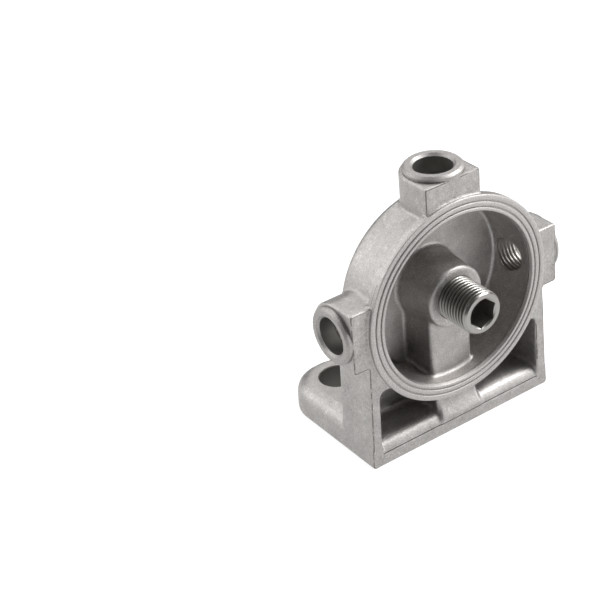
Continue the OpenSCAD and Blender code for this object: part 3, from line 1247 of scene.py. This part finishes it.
@dataclass(frozen=True)
class Stud:
    """The hollow threaded stud with its hexagon socket."""

    radius: float = 8.0
    end_r: float = 7.3
    end_y: float = -54.4
    foot_y: float = Casting.seat_y
    chamfer: float = 1.1
    plain: float = 1.1
    run_out: float = 0.5
    foot_chamfer: float = 1.2
    thread: Thread = Thread(1.5, 0.95, 180, (0.0, 0.04, 0.17, 0.30, 0.37, 0.63, 0.70, 0.83, 0.96))
    hex_flats: float = 10.0
    hex_turn: float = 20.0
    hex_depth: float = 9.0
    bore_r: float = Casting.bore_r
    stud_z: float = mount_place("filter_stud")[2]

    def build(self, material: Material, inside: Material) -> Object:
        """Builds the stud.

        Args:
            material: the plated steel.
            inside: the darker steel of the hexagon and the bore.

        Returns:
            The stud as one closed mesh.
        """
        centre = np.array([0, self.end_y, self.stud_z])
        length = self.foot_y - self.end_y

        def radius(height: np.ndarray, lift: np.ndarray) -> np.ndarray:
            """The thread's radius: a plain chamfered end, the thread, and a smaller foot.

            Args:
                height: height from the stud's end, negative inside the casting.
                lift: the thread's height over its root.

            Returns:
                The radius.
            """
            cut_in = np.clip((-self.plain - height) / self.run_out + 1, 0, 1)
            start = self.end_r - height * (self.radius - self.end_r) / self.chamfer
            foot = self.radius - self.foot_chamfer + height + length
            return np.minimum(self.radius - (self.thread.depth - lift) * cut_in, np.minimum(start, foot))

        piece = self.thread.screw("spin_on_stud_dressed", -length, 0, radius, Axis.FRONT, centre, material)
        corner = self.hex_flats / 2 / math.cos(math.radians(30))
        socket = [(corner, -self.hex_depth), (corner, 1)]
        bore = [(self.bore_r, -length - 1), (self.bore_r, -1)]
        sink = [(corner - 1.0, -0.7), (corner + 0.43, 0.3)]
        cuts = [turned("hexagon", socket, Axis.FRONT, centre, inside, 6, phase=self.hex_turn),
                turned("bore", bore, Axis.FRONT, centre, inside, 64),
                turned("sink", sink, Axis.FRONT, centre, material, 96)]
        combine(piece, cuts, "DIFFERENCE")
        smooth(piece)
        return piece


@dataclass(frozen=True)
class Studio:
    """The camera, the floor and the lamps."""

    camera_place: tuple[float, float, float] = (-301.81, -421.04, 360.10)
    forward: tuple[float, float, float] = (0.45066, 0.7193, -0.52869)
    right: tuple[float, float, float] = (0.81496, -0.57322, -0.08522)
    focal_px: float = 1663.8
    photo_px: float = 600.0
    sensor: float = 36.0
    floor_half: float = 4000.0
    paper: str = "#8f8f8f"
    paper_seen: float = 0.86
    paper_mirrored: float = 0.64
    backdrop_mirrored: float = 0.04
    lamp_far: float = 1.4
    lamp_aim: tuple[float, float, float] = (0.0, 0.0, 0.05)
    lamps: dict[str, tuple[float, float, float, float]] = field(default_factory=lambda: {
        "key_right": (70, 44, 0.6, 16.0),
        "low_front": (45, 12, 0.5, 5.3),
        "high_front": (45, 55, 0.5, 2.7),
        "box_over": (155, 57, 1.1, 8.2),
        "box_rear_left": (-130, 31, 1.5, 14.0)})

    def camera(self) -> None:
        """Puts the camera where the photograph was taken."""
        data = bpy.data.cameras.new("camera")
        data.sensor_width = self.sensor
        data.lens = self.focal_px * self.sensor / self.photo_px
        data.dof.use_dof = False
        piece = bpy.data.objects.new("camera", data)
        forward, right = Vector(self.forward).normalized(), Vector(self.right).normalized()
        turn = Matrix((right, right.cross(forward), -forward)).transposed()
        piece.matrix_world = Matrix.Translation(Vector(self.camera_place) * MM) @ turn.to_4x4()
        bpy.context.scene.collection.objects.link(piece)
        bpy.context.scene.camera = piece

    def lamp(self, name: str, azimuth: float, height: float, size: float, watts: float) -> None:
        """Adds a soft square lamp on a sphere round the part.

        Args:
            name: the lamp's name.
            azimuth: its direction in degrees, from the front to the right.
            height: its height over the floor in degrees.
            size: its side in metres.
            watts: its power.
        """
        side, up = math.radians(azimuth), math.radians(height)
        way = Vector((math.cos(up) * math.sin(side), -math.cos(up) * math.cos(side), math.sin(up)))
        data = bpy.data.lights.new(name, "AREA")
        data.shape = "SQUARE"
        data.size = size
        data.energy = watts
        piece = bpy.data.objects.new(name, data)
        piece.location = way * self.lamp_far + Vector(self.lamp_aim)
        piece.rotation_euler = (-way).to_track_quat("-Z", "Y").to_euler()
        bpy.context.scene.collection.objects.link(piece)

    def world(self) -> None:
        """A pale backdrop, which to the camera is as light as the floor and is dim in the metal."""
        world = bpy.data.worlds.new("studio")
        world.use_nodes = True
        tree = world.node_tree
        back = tree.nodes["Background"]
        back.inputs["Color"].default_value = (1, 1, 1, 1)
        tree.links.new(self.shown(tree, self.paper_seen, self.backdrop_mirrored), back.inputs["Strength"])
        bpy.context.scene.world = world

    def shown(self, tree: NodeTree, seen: float, mirrored: float) -> NodeSocket:
        """A strength that only the camera, metal and glass see, and which lights nothing.

        Args:
            tree: the node tree.
            seen: the strength for the camera, where 1 is white.
            mirrored: the strength for metal and glass.

        Returns:
            The strength's socket.
        """
        path = add_node(tree, "LightPath")
        glossy, through = path.outputs["Is Glossy Ray"], path.outputs["Is Transmission Ray"]
        metal = add_node(tree, "Math", {0: glossy, 1: through}, operation="MAXIMUM")
        inner = add_node(tree, "Math", {0: metal.outputs[0], 1: mirrored}, operation="MULTIPLY")
        both = add_node(tree, "Math", {0: path.outputs["Is Camera Ray"], 1: seen, 2: inner.outputs[0]},
                        operation="MULTIPLY_ADD")
        return both.outputs[0]

    def floor(self) -> None:
        """A plain floor of white paper, which stays white to the camera and in the metal."""
        corners = np.array([(-1, -1, 0), (1, -1, 0), (1, 1, 0), (-1, 1, 0)]) * self.floor_half
        material = bpy.data.materials.new("white_paper")
        material.use_nodes = True
        tree = material.node_tree
        shader = tree.nodes["Principled BSDF"]
        shader.inputs["Base Color"].default_value = srgb(self.paper)
        shader.inputs["Roughness"].default_value = 0.9
        shader.inputs["Emission Color"].default_value = (1, 1, 1, 1)
        glow = self.shown(tree, self.paper_seen, self.paper_mirrored)
        tree.links.new(glow, shader.inputs["Emission Strength"])
        material.cycles.emission_sampling = "NONE"
        add_mesh("floor", corners, [np.array([[0, 1, 2, 3]])], [material])

    def build(self) -> None:
        """Sets up the studio."""
        self.camera()
        self.world()
        self.floor()
        for name, values in self.lamps.items():
            self.lamp(name, *values)
        bpy.context.scene.view_settings.view_transform = "Standard"


def main() -> None:
    """Builds the pieces in order and reports each of them."""
    logging.basicConfig(level=logging.INFO, format="%(name)s: %(message)s")
    body = CastBody()
    stud_z, port_y = body.stud_z, body.port_y
    bright = ((0.30, "#b1aeac"), (0.50, "#c1bebc"), (0.68, "#d2cfcd"))
    faces = {"back": (Axis.BACK, (0, 0, stud_z)), "top": (Axis.UP, (0, port_y, 0)),
             "left": (Axis.LEFT, (0, port_y, stud_z)), "right": (Axis.RIGHT, (0, port_y, stud_z))}
    finishes = {key: TurnedFinish("aluminium_turned_" + key, *face).make() for key, face in faces.items()}
    finishes |= {
        "cast": CastFinish().make(),
        # Turned last with a finer feed, the rim looks brighter than the collars.
        "rim": TurnedFinish("aluminium_turned_rim", Axis.FRONT, (0, 0, stud_z), bright).make(),
        # Bored aluminium inside a hole: dull, and painted a little dark to stand in for the shade inside
        # the holes.
        "bore": PlainFinish("aluminium_bored_painted_shade", "#7f7d79", 0.6).make(),
        # Tapped aluminium: light flanks with a soft gleam.
        "cut": PlainFinish("aluminium_tapped", "#a5a29e", 0.42).make(),
        # A scribed line over the sill, painted nearly black to stand in for the shade inside its groove.
        "line": PlainFinish("aluminium_scribed_painted_shade", "#4a4845", 0.6).make()}
    casting = Casting(body).build(finishes)
    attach(casting, "root")
    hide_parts("head_casting")
    log.info("casting: %d faces", len(casting.data.polygons))
    # Broached steel inside the hexagon and the bore: plain grey, softer than the plated thread.
    stud = Stud().build(ThreadFinish("steel_zinc_plated", stud_z, Stud.end_y).make(),
                        PlainFinish("steel_broached", "#a09d99", 0.45).make())
    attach(stud, "root")
    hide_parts("spin_on_stud")
    log.info("stud: %d faces", len(stud.data.polygons))
    Studio().build()
    log.info("studio: done")


if __name__ == "__main__":
    main()
